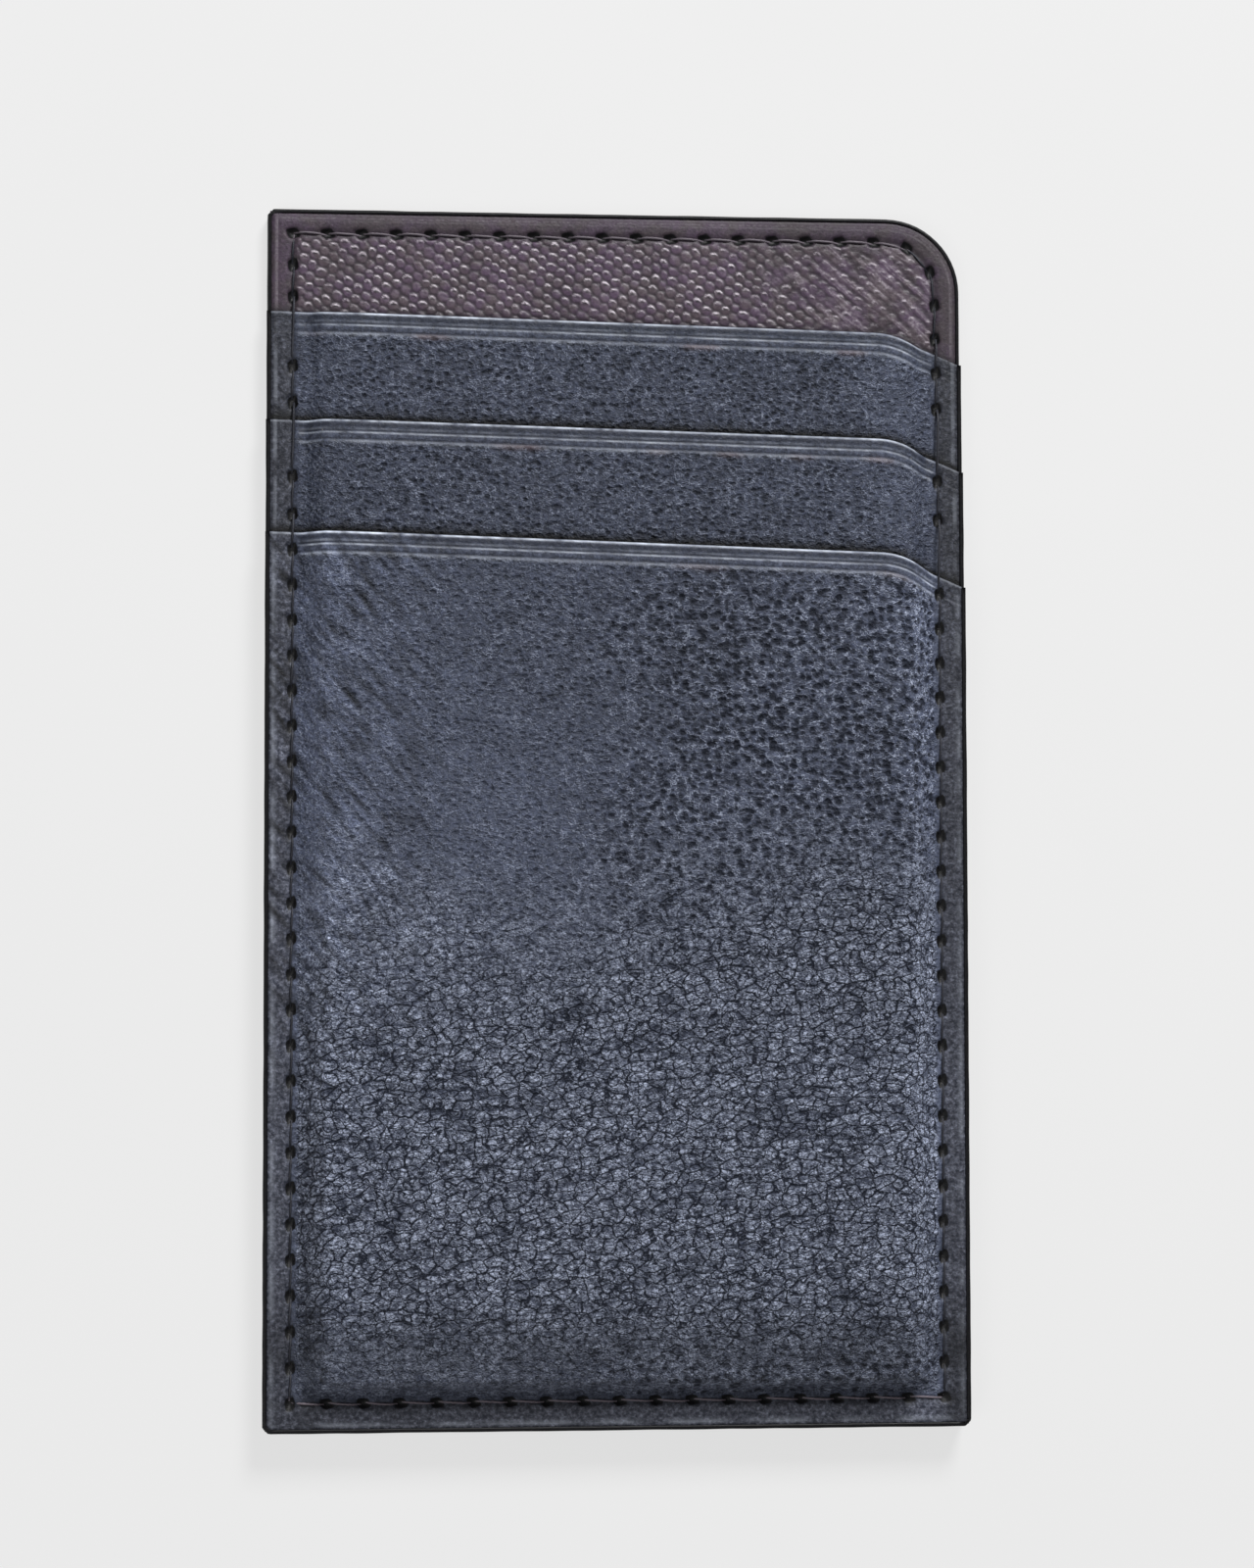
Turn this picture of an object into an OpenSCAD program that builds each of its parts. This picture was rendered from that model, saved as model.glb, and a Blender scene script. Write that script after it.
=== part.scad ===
// Slim upright card holder: a stitched leather stack with three slots for bank cards.
// It lies on its back. The origin is under the middle of the back face, +X is to the right,
// +Y is towards the edge that the cards go in from, and +Z comes out of the front.

/* [Wallet] */
// Overall width over the painted edges
wallet_w = 65; // [64:0.5:80]
// Overall height over the painted edges
wallet_h = 112.4; // [112:0.2:136]
// Radius of the rounded top right corner
corner_r = 7; // [4:0.5:12]
// Small flat across each of the three square corners
corner_cut = 0.4; // [0.2:0.1:1]

/* [Card] */
// Width of a standard bank card
card_w = 53.98; // [50:0.02:54]
// Height of a standard bank card
card_h = 85.6; // [80:0.1:85.6]
// Thickness of a standard bank card
card_t = 0.76; // [0.5:0.02:0.92]
// How far a card stands out of its slot
card_show = 9.6; // [9.6:0.1:20]
// Room beside the card on each side
card_side_play = 0.3; // [0.2:0.05:0.4]
// Room over the card's face
card_face_play = 0.06; // [0.04:0.02:0.2]

/* [Leather] */
// Back panel
back_t = 0.8; // [0.7:0.05:1.2]
// Stiffening board behind the facing
core_t = 0.3; // [0.2:0.05:0.8]
// Embossed facing behind the first slot
facing_t = 0.6; // [0.5:0.05:1]
// First and second slot panels
slot_t = 0.5; // [0.4:0.05:0.6]
// Front panel
front_t = 0.7; // [0.5:0.05:0.85]
// Fabric lining and mouth tape
lining_t = 0.1; // [0.08:0.02:0.2]
// Slope of the pressed step from the seam up to the card area, in degrees
wall_angle = 65; // [62:1:80]
// Slope of the low step of the first slot panel, in degrees
first_wall_angle = 80; // [65:1:85]

/* [Slot mouths] */
// First mouth, down from the top at the left edge
mouth_1_drop = 9.65; // [8:0.05:12]
// Second mouth
mouth_2_drop = 19.8; // [17:0.05:24]
// Third mouth
mouth_3_drop = 30.25; // [27:0.05:30.5]
// Fall of the first two mouths towards the right, in degrees
slot_slant = 1.4; // [0:0.1:3]
// Fall of the third mouth
front_slant = 1.75; // [0:0.05:1.8]
// Where the finger dip starts, in from the right edge
dip_start = 8.3; // [6:0.1:12]
// Radius of the bend into the dip
dip_r = 7; // [4:0.5:12]
// Slope of the dip, in degrees
dip_angle = 22; // [10:1:30]
// First crease, below the mouth
crease_1 = 1; // [0.6:0.1:1.4]
// Second crease, below the mouth
crease_2 = 1.9; // [1.8:0.1:3]
// Width of a crease
crease_w = 0.25; // [0.15:0.05:0.35]
// Width of the tape that stiffens a mouth
tape_w = 6; // [4:0.5:7]

/* [Stitching] */
// Seam, in from the sides
seam_side = 2.5; // [2.2:0.1:2.5]
// Seam, in from the top
seam_top = 2.3; // [2:0.1:3]
// Seam, in from the bottom
seam_bottom = 2.7; // [2.4:0.1:2.7]
// Radius of the seam at the rounded corner
seam_r = 4.7; // [2:0.1:8]
// Nominal stitch length
stitch_pitch = 3.25; // [2.6:0.05:4.2]
// Diameter of the thread on the surface
thread_d = 0.4; // [0.3:0.02:0.48]
// Diameter of the awl holes
hole_d = 0.7; // [0.6:0.02:0.84]
// Width of the groove that the thread lies in
groove_w = 0.6; // [0.56:0.02:0.72]

/* [Edges] */
// Thickness of the painted edge coat
coat_t = 0.25; // [0.1:0.05:0.4]
// How far each layer stands out past the one behind it
layer_step = 0.04; // [0:0.02:0.12]

/* [Hidden] */
$fn = 32;

half_w = wallet_w / 2;
half_h = wallet_h / 2;
front = 3;
over = 1;

// Levels: the pressed seam is the panels alone, and the card area adds a gap under each panel.
gap = card_t + card_face_play;
core_z = back_t;
facing_z = back_t + core_t;
seat_z = facing_z + facing_t;
function panel_t(k) = k == front ? front_t : slot_t;
function rim_z(k) = seat_z + (k - 1) * slot_t;
function roof_z(k) = (k == 1 ? seat_z : crown_z(k - 1)) + gap + lining_t;
function crown_z(k) = roof_z(k) + panel_t(k);

// The step wall of panel k at the level of the seat; it leans in by lean(k, z) at level z.
nest_play = 0.1;
function angle(k) = k == 1 ? first_wall_angle : wall_angle;
function lean(k, z) = (z - seat_z) / tan(angle(k));
function wall_across(k) = panel_t(k) / sin(angle(k));
// Half the width that panel k - 1 takes at its crown, brought to the seat level of panel k.
function nested_x(k) = pocket_x(k - 1) + wall_across(k - 1) + nest_play
    - lean(k - 1, crown_z(k - 1)) + lean(k, crown_z(k - 1));
function pocket_x(k) = max(card_w / 2 + card_side_play + lean(k, roof_z(k)),
                           k == 1 ? 0 : nested_x(k));
function pocket_y(k) = card_foot_y(k) - card_side_play - lean(k, roof_z(k));
function card_foot_y(k) = mouth_y(k, 0) - (card_h - card_show);

// Mouths: a slanted line that bends down into a finger dip at the right.
dip_x = half_w - dip_start;
dip_steps = 6;
function drop(k) = [mouth_1_drop, mouth_2_drop, mouth_3_drop][k - 1];
function slant(k) = k == front ? front_slant : slot_slant;
function dip(u) = u <= 0 ? 0
    : u < dip_r * sin(dip_angle) ? dip_r - sqrt(dip_r * dip_r - u * u)
    : dip_r * (1 - cos(dip_angle)) + (u - dip_r * sin(dip_angle)) * tan(dip_angle);
function mouth_y(k, x) = half_h - drop(k) - (x + half_w) * tan(slant(k)) - dip(x - dip_x);
bend_x = [for (i = [0 : dip_steps]) dip_x + dip_r * sin(dip_angle * i / dip_steps)];
function mouth(k, x1, x2, down) =
    [for (x = concat([x1], [for (b = bend_x) if (b > x1 && b < x2) b], [x2]))
        [x, mouth_y(k, x) - down]];
function reversed(list) = [for (i = [len(list) - 1 : -1 : 0]) list[i]];
// A strip that follows mouth k, from down1 to down2 below it.
function strip(k, x, down1, down2) =
    concat(mouth(k, -x, x, down1), reversed(mouth(k, -x, x, down2)));

// Outlines. A panel's leather stops one coat short of its painted edge.
corner_steps = 16;
function side_x(k) = half_w - (front - k) * layer_step;
function square_foot(x, y) = [[x, corner_cut - y], [x - corner_cut, -y],
                              [corner_cut - x, -y], [-x, corner_cut - y]];
function rounded(x, y, r) =
    concat([[-x, y - corner_cut], [corner_cut - x, y]],
           [for (i = [0 : corner_steps])
               [x - r + r * sin(90 * i / corner_steps), y - r + r * cos(90 * i / corner_steps)]],
           square_foot(x, y));
function panel(k) =
    concat(mouth(k, coat_t - side_x(k), side_x(k) - coat_t, 0),
           square_foot(side_x(k) - coat_t, half_h - coat_t));
leather_back = rounded(side_x(0) - coat_t, half_h - coat_t, corner_r - coat_t);
coated_back = rounded(side_x(0), half_h, corner_r);

// The perimeter seam runs clockwise from the top left corner. s is the length along it.
seam_x = half_w - seam_side;
seam_top_y = half_h - seam_top;
seam_foot_y = seam_bottom - half_h;
arc_len = seam_r * PI / 2;
run_top = 2 * seam_x - seam_r;
run_right = seam_top_y - seam_r - seam_foot_y;
s_right = run_top + arc_len;
s_foot = s_right + run_right;
s_left = s_foot + 2 * seam_x;
s_end = s_left + seam_top_y - seam_foot_y;
function on_arc(a) = [seam_x - seam_r + seam_r * sin(a), seam_top_y - seam_r + seam_r * cos(a)];
function seam(s) = s < run_top ? [s - seam_x, seam_top_y]
    : s < s_right ? on_arc(90 * (s - run_top) / arc_len)
    : s < s_foot ? [seam_x, seam_top_y - seam_r - (s - s_right)]
    : s < s_left ? [seam_x - (s - s_foot), seam_foot_y]
    : [-seam_x, seam_foot_y + (s - s_left)];
// Where the seam crosses mouth k. One stitch straddles each crossing.
function cross_right(k) = s_right + seam_top_y - seam_r - mouth_y(k, seam_x);
function cross_left(k) = s_left + mouth_y(k, -seam_x) - seam_foot_y;
// Holes from s = a to b; from and to are 1 where that end is a mouth, else 0.
function holes(a, b, from, to) =
    let (n = max(1, round((b - a) / stitch_pitch - (from + to) / 2)),
         p = (b - a) / (n + (from + to) / 2),
         last = from == 0 && to == 1 ? n : n - 1)
    [for (i = [0 : last]) a + p * (i + from / 2)];
stations = concat(holes(0, cross_right(1), 0, 1),
                  holes(cross_right(1), cross_right(2), 1, 1),
                  holes(cross_right(2), cross_right(3), 1, 1),
                  holes(cross_right(3), s_foot, 1, 0),
                  holes(s_foot, s_left, 0, 0),
                  holes(s_left, cross_left(3), 0, 1),
                  holes(cross_left(3), cross_left(2), 1, 1),
                  holes(cross_left(2), cross_left(1), 1, 1),
                  holes(cross_left(1), s_end, 1, 0));
punched = [for (s = stations) seam(s)];
function covers(k, p) = k > 0 && p.y < mouth_y(k, p.x);
function layers(p) = len([for (k = [1 : front]) if (covers(k, p)) k]);
function top_z(n) = n == 0 ? seat_z : rim_z(n) + panel_t(n);

// Base seams: a row of stitches across each slot panel, just below where its cards stop.
foot_play = 1;
base_thread_d = 0.28;
base_hole_d = 0.6;
base_groove = 0.3;
base_half = card_w / 2;
base_count = round(2 * base_half / stitch_pitch);
function base_y(k) = pocket_y(k) - wall_across(k) + lean(k, rim_z(k) + panel_t(k)) - foot_play;
function base_row(k) =
    [for (i = [0 : base_count]) [2 * base_half * i / base_count - base_half, base_y(k)]];

// Thread: each stitch is a bar on the surface and a leg that goes down its hole.
leg_share = 0.85;
end_play = 0.1;
leg_play = 0.05;
base_leg_play = 0.03;
thread_play = 0.01;
back_groove = thread_d + 2 * thread_play;
crease_deep = 0.12;
tape_in = 0.5;
tape_play = 0.05;

module plate(points, z, t) {
    translate([0, 0, z]) linear_extrude(t) polygon(points);
}

// A block with leaning sides and foot, open towards the mouth; x and y are at the seat level.
module block(k, x, y, z1, z2) {
    function ring(z) =
        [[lean(k, z) - x, y + lean(k, z), z], [x - lean(k, z), y + lean(k, z), z],
         [x - lean(k, z), half_h + over, z], [lean(k, z) - x, half_h + over, z]];
    polyhedron(concat(ring(z1), ring(z2)),
               [[0, 1, 2, 3], [7, 6, 5, 4], [0, 4, 5, 1], [1, 5, 6, 2], [2, 6, 7, 3], [3, 7, 4, 0]]);
}

module punch(points, d) {
    for (p = points) translate([p.x, p.y, -over]) cylinder(d = d, h = crown_z(front) + 2 * over);
}

// The groove's outline. Round the corner it also takes in each straight stitch.
module seam_ring() {
    g = groove_w / 2;
    top = seam_top_y;
    difference() {
        polygon(seam_outline(seam_x + g, top + g, seam_foot_y - g, seam_r + g));
        polygon(seam_outline(seam_x - g, top - g, seam_foot_y + g, seam_r - g));
    }
    for (i = [0 : len(punched) - 2]) {
        if (stations[i + 1] > run_top && stations[i] < s_right) {
            p = punched[i];
            q = punched[i + 1];
            translate(p) rotate(atan2(q.y - p.y, q.x - p.x)) translate([0, -g])
                square([norm(q - p), groove_w]);
        }
    }
}

function seam_outline(x, top, foot, r) =
    concat([[-x, foot], [-x, top]],
           [for (i = [0 : corner_steps])
               [x - r + r * sin(90 * i / corner_steps), top - r + r * cos(90 * i / corner_steps)]],
           [[x, foot]]);

// The thread groove in the top face of layer k, only where the next panel doesn't cover it.
module front_groove(k) {
    translate([0, 0, top_z(k) - thread_d / 2]) linear_extrude(thread_d) intersection() {
        seam_ring();
        difference() {
            polygon(rounded(half_w, half_h, corner_r));
            if (k < front) {
                polygon(concat(mouth(k + 1, -half_w - over, half_w + over, 0),
                               [[half_w + over, -half_h - over], [-half_w - over, -half_h - over]]));
            }
        }
    }
}

module pocket_panel(k) {
    difference() {
        union() {
            plate(panel(k), rim_z(k), panel_t(k));
            intersection() {
                plate(panel(k), rim_z(k), crown_z(k));
                block(k, pocket_x(k) + wall_across(k), pocket_y(k) - wall_across(k),
                      rim_z(k), crown_z(k));
            }
        }
        block(k, pocket_x(k), pocket_y(k), rim_z(k) - over, roof_z(k));
        punch([for (p = punched) if (covers(k, p)) p], hole_d);
        for (j = [1 : 2]) if (j >= k) punch(base_row(j), base_hole_d);
        front_groove(k);
        for (c = [crease_1, crease_2]) {
            plate(strip(k, pocket_x(k) - lean(k, crown_z(k)), c, c + crease_w),
                  crown_z(k) - crease_deep, over);
        }
    }
}

module base_row_holes() {
    for (k = [1 : 2]) punch(base_row(k), base_hole_d);
}

module lining(k) {
    x = pocket_x(k) - lean(k, roof_z(k)) - tape_play;
    y = pocket_y(k) + lean(k, roof_z(k)) + tape_play;
    plate(concat(mouth(k, -x, x, tape_in + tape_w + tape_play), [[x, y], [-x, y]]),
          roof_z(k) - lining_t, lining_t);
}

module mouth_tape(k) {
    x = pocket_x(k) - lean(k, roof_z(k)) - tape_play;
    plate(strip(k, x, tape_in, tape_in + tape_w), roof_z(k) - lining_t, lining_t);
}

module stitch(p, q, z, leg_z, d) {
    leg = d * leg_share;
    from = leg / 2 + leg_play;
    turn = atan2(q.y - p.y, q.x - p.x);
    translate([p.x, p.y, 0]) {
        translate([0, 0, z]) rotate([0, 0, turn]) translate([-from, 0, 0]) rotate([0, 90, 0])
            cylinder(d = d, h = norm(q - p) - leg / 2 - end_play + from);
        translate([0, 0, min(z, leg_z)]) cylinder(d = leg, h = abs(leg_z - z));
    }
}

module base_seam(k) {
    row = base_row(k);
    top = rim_z(k) + slot_t + base_thread_d / 2;
    under = facing_z + base_thread_d / 2 + thread_play;
    meet = (top + under) / 2;
    for (i = [0 : base_count - 1]) {
        stitch(row[i], row[i + 1], top, meet + base_leg_play, base_thread_d);
        stitch(row[i], row[i + 1], under, meet - base_leg_play, base_thread_d);
    }
}

module edge_coat(k) {
    x = side_x(k);
    in = x - coat_t;
    plate(concat([[-in, mouth_y(k, -in)], [-x, mouth_y(k, -x)]], reversed(square_foot(x, half_h)),
                 [[x, mouth_y(k, x)], [in, mouth_y(k, in)]], square_foot(in, half_h - coat_t)),
          rim_z(k), panel_t(k));
}

module back_panel() color("#2f3548") difference() {
    plate(leather_back, 0, back_t);
    punch(punched, hole_d);
    translate([0, 0, -over]) linear_extrude(over + back_groove) seam_ring();
}

module core_board() color("#b9a98c") difference() {
    plate(leather_back, core_z, core_t);
    punch(punched, hole_d);
}

module facing_panel() color("#5f5260") difference() {
    plate(leather_back, facing_z, facing_t);
    punch(punched, hole_d);
    base_row_holes();
    for (k = [1 : 2]) translate([-base_half - over / 2, base_y(k) - base_groove, facing_z - over])
        cube([2 * base_half + over, 2 * base_groove, over + base_groove]);
    front_groove(0);
}

module slot_1_panel() color("#454b60") pocket_panel(1);
module slot_2_panel() color("#485066") pocket_panel(2);
module front_panel() color("#525a70") pocket_panel(front);
module slot_1_lining() color("#23252f") lining(1);
module slot_2_lining() color("#23252f") lining(2);
module front_lining() color("#23252f") lining(front);
module slot_1_mouth_tape() color("#8f8f8f") mouth_tape(1);
module slot_2_mouth_tape() color("#8f8f8f") mouth_tape(2);
module front_mouth_tape() color("#8f8f8f") mouth_tape(front);
module slot_1_base_seam() color("#20232e") base_seam(1);
module slot_2_base_seam() color("#20232e") base_seam(2);

module needle_thread() color("#262a38") {
    for (i = [0 : len(punched) - 1]) {
        p = punched[i];
        q = punched[(i + 1) % len(punched)];
        top = top_z(max(layers(p), layers(q)));
        stitch(p, q, top, top_z(layers(p)) / 2 + leg_play, thread_d);
    }
}

module bobbin_thread() color("#262a38") {
    for (i = [0 : len(punched) - 1]) {
        p = punched[i];
        stitch(p, punched[(i + 1) % len(punched)], thread_d / 2 + thread_play,
               top_z(layers(p)) / 2 - leg_play, thread_d);
    }
}

module edge_coat_back() color("#0d0e12") difference() {
    plate(coated_back, 0, seat_z);
    plate(leather_back, -over, seat_z + 2 * over);
}

module edge_coat_slot_1() color("#0d0e12") edge_coat(1);
module edge_coat_slot_2() color("#0d0e12") edge_coat(2);
module edge_coat_front() color("#0d0e12") edge_coat(front);

back_panel();
core_board();
facing_panel();
slot_1_panel();
slot_2_panel();
front_panel();
slot_1_lining();
slot_2_lining();
front_lining();
slot_1_mouth_tape();
slot_2_mouth_tape();
front_mouth_tape();
slot_1_base_seam();
slot_2_base_seam();
needle_thread();
bobbin_thread();
edge_coat_back();
edge_coat_slot_1();
edge_coat_slot_2();
edge_coat_front();
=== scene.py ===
# %% [markdown]
# # An upright card holder in stitched leather
# The real object is a stack of thin leather panels sewn together round the edge. Three of them
# stop short of the top, one below the other, and each leaves a slot for a bank card.
# The exact sizes live in a CAD frame. This script reads that frame, gives every panel its
# softness, grain and thread, and leaves the size alone.
# It first loads the frame and keeps its box.

import math

import bpy
import numpy as np
from mathutils import Matrix, Vector


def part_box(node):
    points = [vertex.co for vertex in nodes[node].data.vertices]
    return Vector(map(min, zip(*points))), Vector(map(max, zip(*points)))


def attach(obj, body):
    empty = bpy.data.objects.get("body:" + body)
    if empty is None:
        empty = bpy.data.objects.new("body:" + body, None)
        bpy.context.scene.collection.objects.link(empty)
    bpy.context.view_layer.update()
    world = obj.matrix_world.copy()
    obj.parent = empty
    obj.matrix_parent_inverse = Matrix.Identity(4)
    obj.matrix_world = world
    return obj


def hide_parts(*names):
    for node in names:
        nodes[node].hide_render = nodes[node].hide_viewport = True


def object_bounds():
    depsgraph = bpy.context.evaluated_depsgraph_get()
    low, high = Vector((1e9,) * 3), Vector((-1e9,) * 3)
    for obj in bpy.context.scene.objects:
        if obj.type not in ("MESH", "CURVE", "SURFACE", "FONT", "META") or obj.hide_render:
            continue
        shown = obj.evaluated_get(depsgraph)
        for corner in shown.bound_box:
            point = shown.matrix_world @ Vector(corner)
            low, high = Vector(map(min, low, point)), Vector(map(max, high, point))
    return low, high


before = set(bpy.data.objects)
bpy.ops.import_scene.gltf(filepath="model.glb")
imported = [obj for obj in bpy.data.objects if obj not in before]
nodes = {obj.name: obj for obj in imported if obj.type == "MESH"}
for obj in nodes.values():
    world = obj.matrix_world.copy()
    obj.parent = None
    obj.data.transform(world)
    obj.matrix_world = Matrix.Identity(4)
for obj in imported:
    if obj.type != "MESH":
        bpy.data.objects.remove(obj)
cad_bounds = [list(corner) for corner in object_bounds()]
print("CAD box in metres", cad_bounds)

# %% [markdown]
# ## Read the sizes
# Working in millimetres keeps the numbers easy to read, so lengths are scaled once, when a mesh
# is made. Nearly every size here comes from the boxes of the CAD nodes: how high each panel
# lies, how wide it is and where its mouth starts. Lists run from the first slot to the front.

# %% Sizes from the frame
MM = 0.001


def box_mm(node):
    """The lowest and highest corner of a CAD node, in millimetres."""
    low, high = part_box(node)
    return np.array(low) / MM, np.array(high) / MM


PANELS = ["slot_1_panel", "slot_2_panel", "front_panel"]
LININGS = ["slot_1_lining", "slot_2_lining", "front_lining"]
COATS = ["edge_coat_slot_1", "edge_coat_slot_2", "edge_coat_front"]
FRONT = 2

back_low, back_high = box_mm("back_panel")
facing_low, facing_high = box_mm("facing_panel")
coat_low, coat_high = box_mm("edge_coat_back")
coat_t = coat_high[1] - facing_high[1]
seat = facing_high[2]
rim = [box_mm(n)[0][2] for n in PANELS]
crown = [box_mm(n)[1][2] for n in PANELS]
roof = [box_mm(n)[1][2] for n in LININGS]
thick = [c - r for c, r in zip(crown, roof)]
side = [box_mm(n)[1][0] for n in PANELS]
mouth_left = [box_mm(n)[1][1] for n in PANELS]
foot = box_mm("front_panel")[0][1]
pocket_foot = [box_mm(n)[0][1] for n in LININGS]
print("crowns", np.round(crown, 2), "rims", np.round(rim, 2), "coat", round(coat_t, 2))

# %% [markdown]
# ## The mouths
# Each mouth falls a little towards the right, then bends down into a dip for a fingertip.
# One function gives the mouth's height at any x, and every panel, crease and lip follows it.

# %% Mouth lines
SLANT = [math.radians(1.4), math.radians(1.4), math.radians(1.75)]
DIP_START = 8.3
DIP_RADIUS = 7.0
DIP_SLOPE = math.radians(22)
half_w = box_mm("edge_coat_front")[1][0]
dip_x = half_w - DIP_START


def dip(u):
    """How far the finger dip has fallen at u past its start: an arc, then a straight slope."""
    u = np.maximum(u, 0)
    bend = DIP_RADIUS * math.sin(DIP_SLOPE)
    arc = DIP_RADIUS - np.sqrt(np.maximum(DIP_RADIUS**2 - np.minimum(u, bend) ** 2, 0))
    return arc + np.maximum(u - bend, 0) * math.tan(DIP_SLOPE)


def mouth_y(k, x):
    """The height of mouth k at x."""
    return mouth_left[k] - (x + side[k]) * math.tan(SLANT[k]) - dip(x - dip_x)


print("mouths at the middle", [round(float(mouth_y(k, 0.0)), 2) for k in range(3)])

# %% [markdown]
# ## Find the stitches in the frame
# The thread node holds a small solid for each stitch. Welding points that share a place and
# then spreading the lowest label along the edges splits it into those solids again.

# %% Split the thread into stitches
def loose_parts(obj):
    """A list of point arrays, one per connected solid of the mesh, in millimetres."""
    mesh = obj.data
    co = np.empty(len(mesh.vertices) * 3)
    mesh.vertices.foreach_get("co", co)
    co = co.reshape(-1, 3) / MM
    places, same = np.unique(np.round(co, 3), axis=0, return_inverse=True)
    same = same.reshape(-1)
    ends = np.empty(len(mesh.edges) * 2, np.int64)
    mesh.edges.foreach_get("vertices", ends)
    a, b = same[ends.reshape(-1, 2)].T
    label = np.arange(len(places))
    while True:
        new = label.copy()
        np.minimum.at(new, a, label[b])
        np.minimum.at(new, b, label[a])
        new = new[new]
        if (new == label).all():
            break
        label = new
    return [places[label == n] for n in np.unique(label)]


upper_parts, lower_parts = (loose_parts(nodes[n]) for n in ("needle_thread", "bobbin_thread"))
print("loose parts", len(upper_parts), "upper", len(lower_parts), "lower")

# %% [markdown]
# ## Holes and bars
# The leg of a stitch stands in its hole, so its lowest points give the hole. A few stitches
# touch at the rounded corner and count as one solid, so a solid may have several legs. Sorted by
# their angle round the middle, the holes come in the order in which they were sewn.

# %% Holes in sewing order
TIP = 0.01
FRAME_THREAD_R = 0.2
HOLES_APART = 1


def stitches_of(parts, leg_down):
    """[(hole, next hole, height of the bar)] for each stitch, clockwise round the seam."""
    found = []
    for p in parts:
        z = p[:, 2]
        tips = p[z < z.min() + TIP] if leg_down else p[z > z.max() - TIP]
        bar = z.max() - FRAME_THREAD_R if leg_down else z.min() + FRAME_THREAD_R
        while len(tips):
            near = np.linalg.norm(tips[:, :2] - tips[0, :2], axis=1) < HOLES_APART
            found.append((tips[near, :2].mean(0), bar))
            tips = tips[~near]
    found.sort(key=lambda f: -math.atan2(f[0][1], f[0][0]))
    after = [f[0] for f in found[1:] + found[:1]]
    return [(hole, next_hole, bar) for (hole, bar), next_hole in zip(found, after)]


needle, bobbin = stitches_of(upper_parts, True), stitches_of(lower_parts, False)
holes = np.array([s[0] for s in needle])
seam_low, seam_high = holes.min(0), holes.max(0)
SEAM_R = 4.7
print(len(needle), "upper and", len(bobbin), "lower stitches; seam", seam_low, seam_high)

# %% [markdown]
# ## Distances
# A leather surface is easiest to shape as a height at each point of a dense grid. Most of its
# features follow a line: the seam, an edge, a mouth. So the helpers here measure distances to
# such lines, and turn a distance into a soft step or a narrow ridge.

# %% Distance helpers
def smooth(t):
    """A soft step from 0 to 1 as t goes from 0 to 1."""
    t = np.clip(t, 0, 1)
    return t * t * (3 - 2 * t)


def bell(d, width):
    """1 where d is 0, falling to nothing on both sides."""
    return np.exp(-((d / width) ** 2))


def rounded_box(x, y, low, high, radius):
    """Signed distance to a box with one rounded corner, top right; it is negative inside."""
    cx, cy = (low[0] + high[0]) / 2, (low[1] + high[1]) / 2
    r = np.where((x > cx) & (y > cy), radius, 0.0)
    qx = np.abs(x - cx) - (high[0] - low[0]) / 2 + r
    qy = np.abs(y - cy) - (high[1] - low[1]) / 2 + r
    outside = np.hypot(np.maximum(qx, 0), np.maximum(qy, 0))
    return np.minimum(np.maximum(qx, qy), 0) + outside - r


def seam_distance(x, y):
    """Distance to the line of stitches; it is negative inside."""
    return rounded_box(x, y, seam_low, seam_high, SEAM_R)


print("seam distance at the origin", round(float(seam_distance(0.0, 0.0)), 2))

# %% [markdown]
# ## Noise
# Smooth noise and cell noise give leather the uneven look of skin: the first for swells, folds
# and wrinkles, the second for pebbles and pores. Both look numbers up in a seeded random table,
# so that each run makes the same leather. Adding ORIGIN keeps the places in the table positive.

# %% Noise helpers
TABLE = 64
ORIGIN = 400


def noise(x, y, size, seed):
    """Smooth noise from about -1 to 1, with features about size millimetres across. Each
    corner of a lattice holds a slope, and the slopes are blended, so no lattice shows."""
    turn = np.random.default_rng(seed).uniform(0, 2 * math.pi, (TABLE, TABLE))
    u, v = (0.8 * x + 0.6 * y) / size + ORIGIN, (0.8 * y - 0.6 * x) / size + ORIGIN
    i, j = np.floor(u).astype(int), np.floor(v).astype(int)
    fu, fv = u - i, v - j

    def slope(di, dj):
        angle = turn[(i + di) % TABLE, (j + dj) % TABLE]
        return np.cos(angle) * (fu - di) + np.sin(angle) * (fv - dj)

    su, sv = smooth(fu), smooth(fv)
    low = slope(0, 0) * (1 - su) + slope(1, 0) * su
    high = slope(0, 1) * (1 - su) + slope(1, 1) * su
    return 1.7 * (low * (1 - sv) + high * sv)


def cells(x, y, size, seed):
    """Distances to the nearest and the second nearest of scattered points, in cell sizes."""
    jitter = np.random.default_rng(seed).uniform(0.1, 0.9, (TABLE, TABLE, 2))
    u, v = x / size + ORIGIN, y / size + ORIGIN
    i, j = np.floor(u).astype(int), np.floor(v).astype(int)
    first = np.full(u.shape, 9.0)
    second = np.full(u.shape, 9.0)
    for di in (-1, 0, 1):
        for dj in (-1, 0, 1):
            spot = jitter[(i + di) % TABLE, (j + dj) % TABLE]
            d = np.hypot(i + di + spot[..., 0] - u, j + dj + spot[..., 1] - v)
            second = np.minimum(second, np.maximum(first, d))
            first = np.minimum(first, d)
    return first, second


print("noise at one place", round(float(noise(1.0, 2.0, 3, 1)), 2))

# %% [markdown]
# ## Stitch holes
# An awl leaves a slanted oval hole for each stitch. A mask that is 1 in the holes and 0 away
# from them sinks the mesh there and tells the materials where to paint shade into the holes.

# %% Stitch holes
HOLE_LONG = 0.58
HOLE_WIDE = 0.46
HOLE_REACH = 1.6
HOLE_DEPTH = 0.42


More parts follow.
